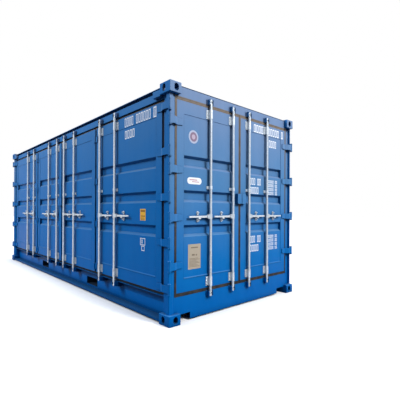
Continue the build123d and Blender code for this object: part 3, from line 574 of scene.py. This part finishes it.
def foot_fillet(shape, left, right, bottom):
    """Three-sided fillet that slopes up from the bottom rail to the sheet."""
    rings = []
    for along in (left, right):
        rings.append([
            shape.verts.new((along, bottom - fillet_low, fillet_back)),
            shape.verts.new((along, bottom - fillet_low, fillet_out)),
            shape.verts.new((along, bottom + fillet_high, fillet_back)),
        ])
    for one, two in ((0, 1), (1, 2), (2, 0)):
        shape.faces.new((rings[0][one], rings[0][two], rings[1][two], rings[1][one]))
    shape.faces.new(rings[0])
    shape.faces.new(rings[1])


def leaf_edges(name, axis):
    """Low and high ends of a leaf along its wall, and its bottom and top."""
    low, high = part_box(name)
    return low[axis], high[axis], low.z, high.z


for name, (matrix, axis, body) in leaves.items():
    left, right, bottom, top = leaf_edges(name, axis)
    left += stile_width
    right -= stile_width
    bottom += bottom_rail_high
    top -= top_rail_high
    middle = (bottom + top) / 2
    flats = [bottom]
    for band in range(press_count):
        centre = middle + (band - (press_count - 1) / 2) * press_pitch
        flats += [centre - press_height / 2, centre + press_height / 2]
    flats.append(top)
    shape = bmesh.new()
    weld_bead(shape, (left, top, -bead_sink), (right, top, -bead_sink))
    foot_fillet(shape, left, right, bottom)
    for low, high in zip(flats[::2], flats[1::2]):
        for edge in (left, right):
            weld_bead(shape, (edge, low, -bead_sink), (edge, high, -bead_sink))
    make_piece(f"weld_beads_{name}", shape, matrix, door_paint, body)

# The door seals. Extruded EPDM rubber clamped round each leaf, near black and patchy
# with dust, paler high up as painted light, with two ribs on its face and a thin lip
# that closes on the frame. On the end doors it laps over the frame, but for the places
# of the rod keepers.
dust_patch = 0.09
painted_light_bottom, painted_light_top = 0.7, 2.4
lip_thick = 0.004
lip_setback = 0.013
lip_sink = 0.002
rib_proud = 0.0015
rib_sink = 0.001
rib_width = 0.004
rib_places = (0.005, 0.015)
lap_high = 0.004
lap_back = 0.0003
lap_front = 0.0028
keeper_reach = 0.051
side_seal_step = 0.024
end_rods = (0.166, 0.574)
end_seams = (-1.110, 0.0, 1.110)
end_opening = (0.293, 2.460)
side_seams = (-2.872, -1.283, 0.0, 1.283, 2.872)
side_opening = (0.297, 2.443)
seal_gap = 0.006
seam_gap = 0.0035
frame_slack = 0.0003
seam_slack = 0.001
seal_rubber, tree = empty_material("weathered_epdm")
coord = add_node(tree, "ShaderNodeTexCoord")
here = coord.outputs["Object"]
place = add_node(tree, "ShaderNodeSeparateXYZ", links={0: here})
dust = add_node(
    tree, "ShaderNodeTexNoise", {"Scale": 1.0 / dust_patch, "Detail": 5.0},
    {"Vector": here},
)
dust_share = add_node(
    tree, "ShaderNodeMapRange",
    {"From Min": noise_low, "From Max": noise_high, "To Min": -0.10, "To Max": 0.18},
    {0: dust},
)
# Painted light: the rubber pales towards the top, as lit upper runs look.
high_up = add_node(
    tree, "ShaderNodeMapRange",
    {"From Min": painted_light_bottom, "From Max": painted_light_top, "To Min": 0.0, "To Max": 0.85},
    {0: place.outputs["Z"]},
)
patches_and_painted_light = add_node(
    tree, "ShaderNodeMath", {"operation": "ADD", "use_clamp": True},
    {0: high_up, 1: dust_share},
)
colour = add_node(
    tree, "ShaderNodeMix",
    {"data_type": "RGBA", first_colour: linear("#121418"),
     second_colour: linear("#756a60")},
    {0: patches_and_painted_light},
)
shader = add_node(
    tree, "ShaderNodeBsdfPrincipled", {"Roughness": 0.75, "Specular IOR Level": 0.3},
    {"Base Color": colour.outputs[mixed]},
)
add_node(tree, "ShaderNodeOutputMaterial", links={0: shader})
finish_nodes(["door_seal_left", "door_seal_right", "side_door_seals"], seal_rubber)


def flat_ring(shape, outer, inner, back, front):
    """Rectangular ring between two outlines, each (left, right, bottom, top)."""
    rings = []
    for outline, out in ((outer, back), (outer, front), (inner, front), (inner, back)):
        left, right, bottom, top = outline
        rings.append([
            shape.verts.new((left, bottom, out)), shape.verts.new((right, bottom, out)),
            shape.verts.new((right, top, out)), shape.verts.new((left, top, out)),
        ])
    for here, there in zip(rings, rings[1:] + rings[:1]):
        for one, two in ((0, 1), (1, 2), (2, 3), (3, 0)):
            shape.faces.new((here[one], here[two], there[two], there[one]))


def shrunk(outline, inset, inset_high=None):
    """An outline moved in by an inset, which may differ at its bottom and top."""
    high = inset if inset_high is None else inset_high
    left, right, bottom, top = outline
    return left + inset, right - inset, bottom + high, top - high


def solid_bar(shape, left, right, bottom, top, back, front):
    """Square-cut bar in wall coordinates."""
    span = Vector((right - left, top - bottom, front - back))
    middle = Vector(((left + right) / 2, (bottom + top) / 2, (back + front) / 2))
    bmesh.ops.create_cube(
        shape, size=1.0,
        matrix=Matrix.Translation(middle) @ Matrix.Diagonal((*span, 1.0)),
    )


for name, (matrix, axis, body) in leaves.items():
    on_end = matrix is end_wall
    leaf = leaf_edges(name, axis)
    seams = end_seams if on_end else side_seams
    bottom, top = end_opening if on_end else side_opening
    face = 0.0 if on_end else -side_seal_step
    left = max(seam for seam in seams if seam < leaf[0])
    right = min(seam for seam in seams if seam > leaf[1])
    at_post = (frame_slack, seal_gap)
    at_seam = (seam_slack, seam_gap)
    left_slack, left_gap = at_post if left == seams[0] else at_seam
    right_slack, right_gap = at_post if right == seams[-1] else at_seam
    lip = (left + left_slack, right - right_slack,
           bottom + frame_slack, top - frame_slack)
    seal = (left + left_gap + lip_sink, right - right_gap - lip_sink,
            bottom + seal_gap + lip_sink, top - seal_gap - lip_sink)
    shape = bmesh.new()
    flat_ring(shape, lip, seal, face - lip_setback - lip_thick, face - lip_setback)
    for inset in rib_places:
        outer = shrunk(leaf, -inset - rib_width)
        inner = shrunk(leaf, -inset)
        if min(outer[0] - left - left_gap, right - right_gap - outer[1]) > 0.0:
            flat_ring(shape, outer, inner, face - rib_sink, face + rib_proud)
    if on_end:
        side = 1 if body == "door_right" else -1
        stops = sorted(
            [left + seam_slack, right - seam_slack]
            + [side * rod + reach for rod in end_rods
               for reach in (-keeper_reach, keeper_reach)]
        )
        for start, stop in zip(stops[::2], stops[1::2]):
            for low, high in ((top - seal_gap, top + lap_high),
                              (bottom - lap_high, bottom + seal_gap)):
                solid_bar(shape, start, stop, low, high, lap_back, lap_front)
    make_piece(f"seal_lip_{name}", shape, matrix, seal_rubber, body)

# The lock gear. Mild steel tube, forgings and pressings, hot-dip galvanised: a matt
# light grey skin with crystal spangle of 8 to 15 mm, browned a little low down, and
# duller on the tubes of the end doors.
spangle_width = 0.011
stain_width = 0.0625
stain_bottom, stain_top = 0.2, 1.6


def hot_dip_zinc(name, bright, dull):
    """Zinc skin; bright and dull are the colours of its lightest and darkest crystals."""
    material, tree = empty_material(name)
    coord = add_node(tree, "ShaderNodeTexCoord")
    here = coord.outputs["Object"]
    place = add_node(tree, "ShaderNodeSeparateXYZ", links={0: here})
    spangle = add_node(
        tree, "ShaderNodeTexVoronoi", {"Scale": 1.0 / spangle_width}, {"Vector": here}
    )
    tone = add_node(
        tree, "ShaderNodeSeparateColor", links={0: spangle.outputs["Color"]}
    )
    skin = add_node(
        tree, "ShaderNodeMix",
        {"data_type": "RGBA", first_colour: linear(bright),
         second_colour: linear(dull)},
        {0: tone},
    )
    stain = add_node(
        tree, "ShaderNodeTexNoise", {"Scale": 1.0 / stain_width, "Detail": 5.0},
        {"Vector": here},
    )
    stain_share = add_node(
        tree, "ShaderNodeMapRange",
        {"From Min": 0.45, "From Max": 0.75, "To Min": 0.0, "To Max": 0.5}, {0: stain},
    )
    low_down = add_node(
        tree, "ShaderNodeMapRange",
        {"From Min": stain_bottom, "From Max": stain_top, "To Min": 0.9, "To Max": 0.0},
        {0: place.outputs["Z"]},
    )
    browned = add_node(
        tree, "ShaderNodeMath", {"operation": "MULTIPLY"}, {0: stain_share, 1: low_down}
    )
    colour = add_node(
        tree, "ShaderNodeMix",
        {"data_type": "RGBA", second_colour: linear("#9c8c7a")},
        {0: browned, first_colour: skin.outputs[mixed]},
    )
    roughness = add_node(
        tree, "ShaderNodeMapRange", {"To Min": 0.36, "To Max": 0.55}, {0: tone}
    )
    shader = add_node(
        tree, "ShaderNodeBsdfPrincipled", {"Metallic": 0.5},
        {"Base Color": colour.outputs[mixed], "Roughness": roughness},
    )
    add_node(tree, "ShaderNodeOutputMaterial", links={0: shader})
    return material


zinc = hot_dip_zinc("hot_dip_zinc_on_forgings", "#ced5db", "#b8c0c7")
tube_zinc = hot_dip_zinc("hot_dip_zinc_on_tube", "#b7c1ca", "#9fa9b3")
forgings = ("rod_handle", "rod_fittings", "side_lock_rods", "side_rod")
finish_nodes([name for name in nodes if name.startswith(forgings)], zinc)
finish_nodes([name for name in nodes if name.startswith("lock_rod")], tube_zinc)

# The bolts of the lock gear. Zinc plated hexagon bolts with washers through each
# bracket plate and guide plate, and one in each boss of every handle catch.
bracket_low = 0.076
bracket_down = 0.080
bracket_bolt_rise = 0.034
bracket_bolt_inset = 0.036
bracket_bolt = 0.014
guide_high = 1.492
guide_bolt_inset = 0.031
guide_bolt = 0.012
plate_front = 0.005
catch_place = 0.188
catch_bolt_rise = 0.045
catch_bolt = 0.012
boss_front = 0.018
handle_high = 1.154
head_thick = 0.0055
washer_thick = 0.0015
washer_sink = 0.0003
# Radii as shares of the size of a head across its flats.
head_low, head_high = 0.58, 0.52
washer_share = 0.72
round_sides = 14
side_rods = (0.162, 0.572, 1.456, 1.868)


def cap(shape, place, sides, low, high, thick):
    """Disc, cone frustum or hexagon that stands out from a wall, centred on its place."""
    bmesh.ops.create_cone(
        shape, cap_ends=True, segments=sides, radius1=low, radius2=high, depth=thick,
        matrix=Matrix.Translation(place),
    )


def hex_bolt(shape, along, height, out, size):
    """Bolt head of a size across its flats, on a washer that is sunk a little."""
    cap(
        shape, (along, height, out + (washer_thick - washer_sink) / 2), round_sides,
        size * washer_share, size * washer_share, washer_thick + washer_sink,
    )
    cap(
        shape, (along, height, out + washer_thick + head_thick / 2), 6,
        size * head_low, size * head_high, head_thick,
    )


def gear_bolts(shape, rod, plate_side, hub_side, bottom, top):
    """All the bolts of one lock rod, between the bottom and top of its leaf."""
    plate = rod + plate_side * bracket_bolt_inset
    for middle in (bottom + bracket_low, top - bracket_down):
        for rise in (-bracket_bolt_rise, 0.0, bracket_bolt_rise):
            hex_bolt(shape, plate, middle + rise, plate_front, bracket_bolt)
    hex_bolt(
        shape, rod + plate_side * guide_bolt_inset, guide_high, plate_front, guide_bolt
    )
    for rise in (-catch_bolt_rise, catch_bolt_rise):
        hex_bolt(
            shape, rod + hub_side * catch_place, handle_high + rise, boss_front,
            catch_bolt,
        )


for name, side in (("end_door_left", -1), ("end_door_right", 1)):
    matrix, axis, body = leaves[name]
    bottom, top = leaf_edges(name, axis)[2:]
    shape = bmesh.new()
    for rod in end_rods:
        gear_bolts(shape, side * rod, -1, side, bottom, top)
    make_piece(f"gear_bolts_{name}", shape, matrix, zinc, body)
bottom, top = leaf_edges("side_leaf_a", 0)[2:]
shape = bmesh.new()
for rod in side_rods:
    for side in (-1, 1):
        gear_bolts(shape, side * rod, 1, side, bottom, top)
make_piece(
    "gear_bolts_side_doors", shape, side_wall, zinc, "container"
)

# The floor screws. Zinc plated self-tapping screws, driven through the boards into each
# joist in a row of nine. Their countersunk heads stand just proud of the plywood.
screw_low, screw_high = 0.0070, 0.0056
screw_proud = 0.0006
screw_sink = 0.0004
screw_sides = 10
joist_pitch = 0.3
joist_middle = 0.0225
joists_each_way = 9
screws_across = 9
screw_pitch = 0.23
floor_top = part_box("floor_boards")[1].z
screw_height = floor_top + (screw_proud - screw_sink) / 2
shape = bmesh.new()
for joist in range(-joists_each_way, joists_each_way + 1):
    along = joist * joist_pitch + joist_middle
    for spot in range(screws_across):
        across = (spot - (screws_across - 1) / 2) * screw_pitch
        cap(
            shape, (along, across, screw_height), screw_sides, screw_low, screw_high,
            screw_proud + screw_sink,
        )
make_piece("floor_screws", shape, Matrix(), zinc, "container")

# The door hinges. Forged blades and flat fold hinges, painted with the doors, each
# blade welded to its stile along its tip.
finish_nodes(["hinge_blades_left", "hinge_blades_right", "side_door_hinges"], door_paint)

# The marks. White vinyl film on the paint: rows of plain noughts and outlines stand
# where a container carries its numbers and weights, without their text.
film = 0.0004
film_sink = 0.0001
wear_patch = 0.02222
rail_face = 0.0
sheet_face = -0.003
nought_width = 0.74
stroke_width = 0.25
stroke_high = 1.2
# Rows are (left, right, bottom, top, pattern, face); a blank in a pattern is a gap.
long_row = "0000 000000 0"
short_row = "0000"
side_rows = (
    (2.070, 2.735, 2.277, 2.391, long_row, rail_face),
    (2.070, 2.300, 2.127, 2.231, short_row, sheet_face),
)
end_rows = [
    (0.306, 1.040, 2.294, 2.398, long_row, rail_face),
    (0.667, 0.860, 2.131, 2.231, short_row, sheet_face),
]
small_rows = 4
small_pitch = 0.055
small_high = 0.041
for low in (1.451, 0.671):
    end_rows += [
        (0.225, 0.480, low + 0.125, low + 0.215, "000 00", sheet_face),
        (0.225, 0.430, low + 0.005, low + 0.095, short_row, sheet_face),
    ]
    for row in range(small_rows):
        start = low + 0.004 + row * small_pitch
        end_rows.append((0.645, 0.885, start, start + small_high, "00000 00", sheet_face))
# Frames are (outline, stroke).
last_nought_frame = ((2.674, 2.732, 2.273, 2.395), 0.004)
side_frames = (
    ((2.420, 2.520, 0.812, 0.897), 0.009),
    ((2.446, 2.506, 0.747, 0.805), 0.008),
    ((2.442, 2.470, 0.834, 0.877), 0.007),
)
white_vinyl, tree = empty_material("white_vinyl_film")
coord = add_node(tree, "ShaderNodeTexCoord")
wear = add_node(
    tree, "ShaderNodeTexNoise", {"Scale": 1.0 / wear_patch, "Detail": 4.0},
    {"Vector": coord.outputs["Object"]},
)
colour = add_node(
    tree, "ShaderNodeMix",
    {"data_type": "RGBA", first_colour: linear("#dde4ee"),
     second_colour: linear("#f6f8fb")},
    {0: wear},
)
shader = add_node(
    tree, "ShaderNodeBsdfPrincipled", {"Roughness": 0.45, "Specular IOR Level": 0.3},
    {"Base Color": colour.outputs[mixed]},
)
add_node(tree, "ShaderNodeOutputMaterial", links={0: shader})


def nought_row(shape, left, right, bottom, top, pattern, face):
    """Row of upright rectangular noughts in film."""
    pitch = (right - left) / len(pattern)
    wide = pitch * nought_width
    stroke = wide * stroke_width
    for spot, sign in enumerate(pattern):
        if sign != " ":
            start = left + spot * pitch
            outer = (start, start + wide, bottom, top)
            inner = shrunk(outer, stroke, stroke * stroke_high)
            flat_ring(shape, outer, inner, face - film_sink, face + film)


def film_frame(shape, outline, stroke, face):
    """Rectangular frame in film."""
    flat_ring(shape, outline, shrunk(outline, stroke), face - film_sink, face + film)


shape = bmesh.new()
nought_row(shape, *side_rows[0])
film_frame(shape, *last_nought_frame, rail_face)
nought_row(shape, *side_rows[1])
for frame_row in side_frames:
    film_frame(shape, *frame_row, sheet_face)
make_piece(
    "marks_side_leaf_a", shape, side_wall, white_vinyl, "container"
)

shape = bmesh.new()
for row in end_rows:
    nought_row(shape, *row)
make_piece(
    "marks_end_door_right", shape, end_wall, white_vinyl, "door_right"
)

# The round mark and the pill-shaped label. Printed vinyl film, stuck on the sheet of an
# end door: faded white, mauve and pink rounds, and white film with plain red bars.
film_front = sheet_face + film
print_front = film_front + film
arc_steps = 8


def plain_finish(name, code, roughness=0.4):
    """Printed film or stove enamel of one colour."""
    material, tree = empty_material(name)
    shader = add_node(
        tree, "ShaderNodeBsdfPrincipled",
        {"Base Color": linear(code), "Roughness": roughness, "Specular IOR Level": 0.3},
    )
    add_node(tree, "ShaderNodeOutputMaterial", links={0: shader})
    return material


pale_film = plain_finish("faded_white_film", "#a5afc8")
mauve_film = plain_finish("faded_mauve_film", "#806c82")
pink_film = plain_finish("faded_pink_film", "#b0a1b5")
red_film = plain_finish("faded_red_film", "#bf8f98")


def rounded_plate(shape, outline, radius, back, front):
    """Plate with rounded corners; a radius of half its height gives round ends."""
    left, right, bottom, top = outline
    rim = []
    for centre_x, centre_y, start in (
        (right - radius, top - radius, 0.0), (left + radius, top - radius, 90.0),
        (left + radius, bottom + radius, 180.0), (right - radius, bottom + radius, 270.0),
    ):
        for step in range(arc_steps + 1):
            turn = math.radians(start + step * 90.0 / arc_steps)
            rim.append(
                (centre_x + radius * math.cos(turn), centre_y + radius * math.sin(turn))
            )
    low = [shape.verts.new((x, y, back)) for x, y in rim]
    high = [shape.verts.new((x, y, front)) for x, y in rim]
    shape.faces.new(low)
    shape.faces.new(high)
    for spot in range(len(rim)):
        after = (spot + 1) % len(rim)
        shape.faces.new((low[spot], low[after], high[after], high[spot]))


def label(name, plates, matrix, material, body, seat, front):
    """One piece of one or more rounded plates, each (outline, radius)."""
    shape = bmesh.new()
    for outline, radius in plates:
        rounded_plate(shape, outline, radius, seat - film_sink, front)
    make_piece(name, shape, matrix, material, body)


for name, plates, material, seat, front in (
    ("round_mark", [((-0.900, -0.750, 1.980, 2.130), 0.0749)],
     pale_film, sheet_face, film_front),
    ("round_mark_print", [((-0.879, -0.771, 2.001, 2.109), 0.0539)],
     mauve_film, film_front, print_front),
    ("round_mark_heart", [((-0.853, -0.797, 2.027, 2.083), 0.0279)],
     pink_film, print_front, print_front + film),
    ("pill_label", [((-0.919, -0.695, 1.521, 1.597), 0.0379)],
     white_vinyl, sheet_face, film_front),
    ("pill_label_print",
     [((-0.885, -0.765, 1.564, 1.576), 0.003), ((-0.845, -0.735, 1.544, 1.554), 0.003)],
     red_film, film_front, print_front),
):
    label(name, plates, end_wall, material, "door_left", seat, front)

# The data plate and the amber plate. Steel in tan and in amber stove enamel with plain
# printed bars, on an end door and a side door, each with a rivet near every corner.
plate_thick = 0.0010
print_thick = 0.0002
plate_face = sheet_face + plate_thick
print_face = plate_face + print_thick
rivet_low, rivet_high = 0.0036, 0.0022
rivet_thick = 0.0014
rivet_centre = 0.0006
data_bars = [
    ((-0.860, -0.750, 0.800, 0.812), 0.002), ((-0.845, -0.800, 0.715, 0.733), 0.004),
    ((-0.785, -0.765, 0.712, 0.730), 0.004),
]
bar_count = 8
bar_start, bar_pitch, bar_high = 0.590, 0.013, 0.005
bar_left, bar_right, bar_short = -0.885, -0.725, 0.025
for bar in range(bar_count):
    rise = bar_start + bar * bar_pitch
    ragged_right = bar_right - bar_short * (bar % 3)
    data_bars.append(((bar_left, ragged_right, rise, rise + bar_high), 0.001))
amber_bars = [
    ((2.428, 2.516, 1.205, 1.228), 0.003), ((2.428, 2.516, 1.150, 1.162), 0.002),
    ((2.428, 2.500, 1.130, 1.138), 0.002), ((2.428, 2.510, 1.115, 1.123), 0.002),
]
tan_enamel = plain_finish("tan_enamel_plate", "#ab9f8e")
brown_print = plain_finish("brown_print", "#75695a", roughness=0.6)
amber_enamel = plain_finish("amber_enamel_plate", "#ecb22e")
umber_print = plain_finish("umber_print", "#8a5e1c", roughness=0.6)
for name, plates, matrix, material, body, seat, front in (
    ("data_plate", [((-0.903, -0.707, 0.565, 0.845), 0.006)],
     end_wall, tan_enamel, "door_left", sheet_face, plate_face),
    ("data_plate_print", data_bars,
     end_wall, brown_print, "door_left", plate_face, print_face),
    ("amber_plate", [((2.417, 2.527, 1.105, 1.241), 0.004)],
     side_wall, amber_enamel, "container", sheet_face, plate_face),
    ("amber_plate_print", amber_bars,
     side_wall, umber_print, "container", plate_face, print_face),
):
    label(name, plates, matrix, material, body, seat, front)
for name, corners, matrix, body in (
    ("data_plate_rivets", (-0.897, -0.713, 0.572, 0.838), end_wall, "door_left"),
    ("amber_plate_rivets", (2.422, 2.522, 1.110, 1.236), side_wall, "container"),
):
    shape = bmesh.new()
    left, right, bottom, top = corners
    for along in (left, right):
        for rise in (bottom, top):
            cap(
                shape, (along, rise, plate_face + rivet_centre), round_sides, rivet_low,
                rivet_high, rivet_thick,
            )
    make_piece(name, shape, matrix, zinc, body)
